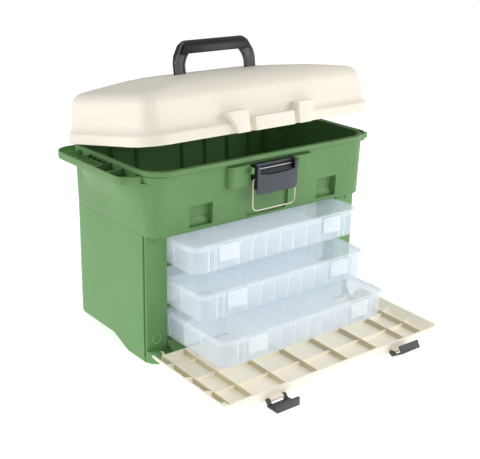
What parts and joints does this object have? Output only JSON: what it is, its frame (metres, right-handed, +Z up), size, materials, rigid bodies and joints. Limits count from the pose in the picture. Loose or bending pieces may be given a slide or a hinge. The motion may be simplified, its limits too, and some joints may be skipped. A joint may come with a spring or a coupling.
{
  "type": "fishing tackle cabinet",
  "caption": "Upright fishing tackle cabinet: hinged lid with carry handle over an open bin, drop-down front door with latches, and pull-out lidded trays with snap tabs.",
  "frame": {"origin": "on the floor under the middle of the case, on the flat pad of its underside", "axes": "+X to the long right side seen from the front, the front and its door face -Y, +Z up"},
  "size_m": [0.522, 0.4882, 0.4871],
  "materials": {
    "green_plastic": "moulded, fine-grained",
    "cream_plastic": "moulded, fine-grained",
    "charcoal_plastic": "moulded",
    "slate_plastic": "moulded",
    "steel_pin": "plain",
    "bright_wire": "bright drawn wire",
    "clear_plastic": "clear moulded"
  },
  "bodies": {
    "case": {"lower_case": "green_plastic", "upper_bin": "green_plastic", "case_rivets": "steel_pin", "lid_hinge_rod": "steel_pin", "door_hinge_pins": "steel_pin", "main_latch_pin": "steel_pin"},
    "lid": {"lid_shell": "cream_plastic", "handle_pins": "steel_pin"},
    "handle": {"carry_handle": "charcoal_plastic"},
    "lever": {"main_latch_lever": "slate_plastic"},
    "bail": {"latch_bail": "bright_wire"},
    "door": {"front_door": "cream_plastic", "door_latch_pins": "steel_pin"},
    "door_latch_l": {"door_latch_left": "slate_plastic"},
    "door_latch_r": {"door_latch_right": "slate_plastic"},
    "tray_top": {"tray_top_base": "clear_plastic", "tray_top_lid": "clear_plastic", "tray_top_dividers": "clear_plastic"},
    "tray_top_clip_left": {"tray_top_latch_left": "clear_plastic"},
    "tray_top_clip_right": {"tray_top_latch_right": "clear_plastic"},
    "tray_middle": {"tray_middle_base": "clear_plastic", "tray_middle_lid": "clear_plastic", "tray_middle_dividers": "clear_plastic"},
    "tray_middle_clip_left": {"tray_middle_latch_left": "clear_plastic"},
    "tray_middle_clip_right": {"tray_middle_latch_right": "clear_plastic"},
    "tray_bottom": {"tray_bottom_base": "clear_plastic", "tray_bottom_lid": "clear_plastic", "tray_bottom_dividers": "clear_plastic"},
    "tray_bottom_clip_left": {"tray_bottom_latch_left": "clear_plastic"},
    "tray_bottom_clip_right": {"tray_bottom_latch_right": "clear_plastic"}
  },
  "joints": [
    {"name": "lid_hinge", "type": "hinge", "parent": "case", "child": "lid", "pos_m": [0, 0.1365, 0.318], "axis": [-1, 0, 0], "range_deg": [-10.5, 95]},
    {"name": "handle_fold", "type": "hinge", "parent": "lid", "child": "handle", "pos_m": [0, 0.01768, 0.42596], "axis": [-1, 0, 0], "range_deg": [0, 58]},
    {"name": "latch_lever_pivot", "type": "hinge", "parent": "case", "child": "lever", "pos_m": [0, -0.142, 0.304], "axis": [-1, 0, 0], "range_deg": [0, 115]},
    {"name": "latch_bail_swing", "type": "hinge", "parent": "lever", "child": "bail", "pos_m": [0, -0.142, 0.288], "axis": [1, 0, 0], "range_deg": [-168, 0]},
    {"name": "door_hinge", "type": "hinge", "parent": "case", "child": "door", "pos_m": [0, -0.112, 0.0145], "axis": [-1, 0, 0], "range_deg": [0, 5.5]},
    {"name": "door_latch_left_pivot", "type": "hinge", "parent": "door", "child": "door_latch_l", "pos_m": [0, -0.31645, 0.00624], "axis": [-1, 0, 0], "range_deg": [0, 95]},
    {"name": "door_latch_right_pivot", "type": "hinge", "parent": "door", "child": "door_latch_r", "pos_m": [0, -0.31645, 0.00624], "axis": [-1, 0, 0], "range_deg": [-32, 63]},
    {"name": "tray_top_slide", "type": "slide", "parent": "case", "child": "tray_top", "axis": [0, 1, 0], "range_m": [-0.045, 0.062]},
    {"name": "tray_top_clip_left_pivot", "type": "hinge", "parent": "tray_top", "child": "tray_top_clip_left", "pos_m": [0, -0.1666, 0.2015], "axis": [-1, 0, 0], "range_deg": [0, 75]},
    {"name": "tray_top_clip_right_pivot", "type": "hinge", "parent": "tray_top", "child": "tray_top_clip_right", "pos_m": [0, -0.1666, 0.2015], "axis": [-1, 0, 0], "range_deg": [0, 75]},
    {"name": "tray_middle_slide", "type": "slide", "parent": "case", "child": "tray_middle", "axis": [0, 1, 0], "range_m": [-0.045, 0.085]},
    {"name": "tray_middle_clip_left_pivot", "type": "hinge", "parent": "tray_middle", "child": "tray_middle_clip_left", "pos_m": [0, -0.1896, 0.1305], "axis": [-1, 0, 0], "range_deg": [0, 75]},
    {"name": "tray_middle_clip_right_pivot", "type": "hinge", "parent": "tray_middle", "child": "tray_middle_clip_right", "pos_m": [0, -0.1896, 0.1305], "axis": [-1, 0, 0], "range_deg": [0, 75]},
    {"name": "tray_bottom_slide", "type": "slide", "parent": "case", "child": "tray_bottom", "axis": [0, 1, 0], "range_m": [-0.045, 0.138]},
    {"name": "tray_bottom_clip_left_pivot", "type": "hinge", "parent": "tray_bottom", "child": "tray_bottom_clip_left", "pos_m": [0, -0.2431, 0.0735], "axis": [-1, 0, 0], "range_deg": [0, 75]},
    {"name": "tray_bottom_clip_right_pivot", "type": "hinge", "parent": "tray_bottom", "child": "tray_bottom_clip_right", "pos_m": [0, -0.2431, 0.0735], "axis": [-1, 0, 0], "range_deg": [0, 75]}
  ]
}
